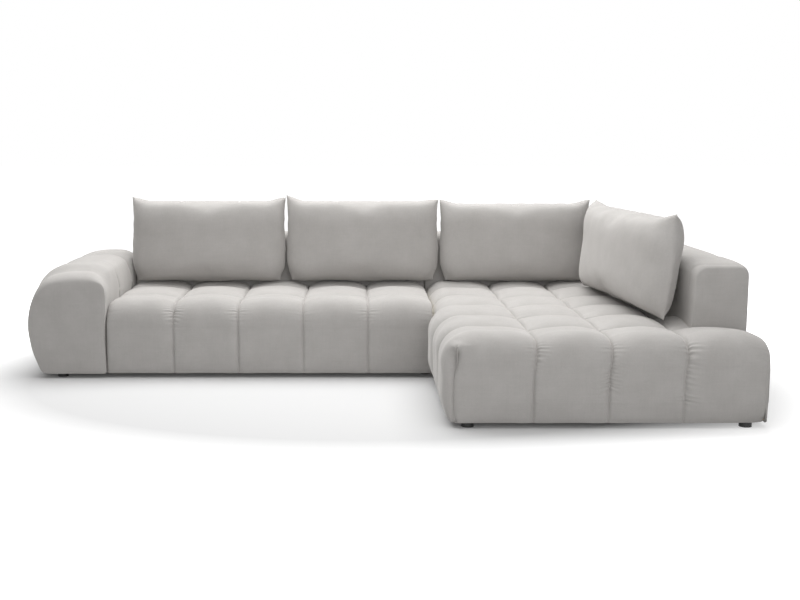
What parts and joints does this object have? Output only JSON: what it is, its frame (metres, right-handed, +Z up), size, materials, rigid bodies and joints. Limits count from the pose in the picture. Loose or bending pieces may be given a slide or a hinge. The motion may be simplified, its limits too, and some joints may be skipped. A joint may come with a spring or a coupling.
{
  "type": "corner sofa",
  "caption": "Low corner sofa with channel-quilted seats, a round arm, a chaise with a side back and loose knife-edge back cushions on plastic feet.",
  "frame": {"origin": "on the floor, under the middle of the whole sofa", "axes": "+Z up, -Y the way a person on the sofa faces, +X towards the chaise"},
  "size_m": [3.3002, 2.0401, 0.8432],
  "materials": {
    "seat_fabric": "matt",
    "cushion_fabric": "matt",
    "foam": "open cell",
    "filling": "fibre",
    "felt": "matt",
    "webbing": "woven",
    "dust_cloth": "matt",
    "pine": "sawn",
    "plywood": "sanded",
    "foot_plastic": "satin",
    "zinc_steel": "zinc plated"
  },
  "bodies": {
    "sofa": {"arm_bolts": "zinc_steel", "arm_cover": "seat_fabric", "arm_dust_cloth": "dust_cloth", "arm_end_panels": "plywood", "arm_foam": "foam", "arm_inner_rail": "pine", "arm_outer_rail": "pine", "arm_stretchers": "pine", "chaise_corner_blocks": "pine", "chaise_cross_rails": "pine", "chaise_cross_webbing": "webbing", "chaise_dust_cloth": "dust_cloth", "chaise_felt": "felt", "chaise_front_rail": "pine", "chaise_left_rail": "pine", "chaise_long_webbing": "webbing", "chaise_rear_rail": "pine", "chaise_right_rail": "pine", "chaise_seat_cover": "seat_fabric", "chaise_seat_foam": "foam", "connector_screws": "zinc_steel", "corner_back_board": "plywood", "corner_back_cover": "seat_fabric", "corner_back_foam": "foam", "corner_back_posts": "pine", "corner_back_top_rail": "pine", "feet": "foot_plastic", "joint_hooks": "zinc_steel", "joint_sockets": "zinc_steel", "side_back_board": "plywood", "side_back_cover": "seat_fabric", "side_back_foam": "foam", "side_back_posts": "pine", "side_back_top_rail": "pine", "sofa_back_board": "plywood", "sofa_back_cover": "seat_fabric", "sofa_back_foam": "foam", "sofa_back_posts": "pine", "sofa_back_top_rail": "pine", "sofa_corner_blocks": "pine", "sofa_cross_rails": "pine", "sofa_cross_webbing": "webbing", "sofa_dust_cloth": "dust_cloth", "sofa_felt": "felt", "sofa_front_rail": "pine", "sofa_left_rail": "pine", "sofa_long_webbing": "webbing", "sofa_rear_rail": "pine", "sofa_right_rail": "pine", "sofa_seat_cover": "seat_fabric", "sofa_seat_foam": "foam"},
    "left_cushion": {"left_cushion_cover": "cushion_fabric", "left_cushion_filling": "filling"},
    "middle_cushion": {"middle_cushion_cover": "cushion_fabric", "middle_cushion_filling": "filling"},
    "right_cushion": {"right_cushion_cover": "cushion_fabric", "right_cushion_filling": "filling"},
    "side_cushion": {"side_cushion_cover": "cushion_fabric", "side_cushion_filling": "filling"}
  },
  "joints": [
    {"name": "left_cushion_lift", "type": "slide", "parent": "sofa", "child": "left_cushion", "axis": [0, 0, 1], "range_m": [0, 0.47]},
    {"name": "middle_cushion_lift", "type": "slide", "parent": "sofa", "child": "middle_cushion", "axis": [0, 0, 1], "range_m": [0, 0.47]},
    {"name": "right_cushion_lift", "type": "slide", "parent": "sofa", "child": "right_cushion", "axis": [0, 0, 1], "range_m": [0, 0.47]},
    {"name": "side_cushion_lift", "type": "slide", "parent": "sofa", "child": "side_cushion", "axis": [0, 0, 1], "range_m": [0, 0.47]}
  ]
}
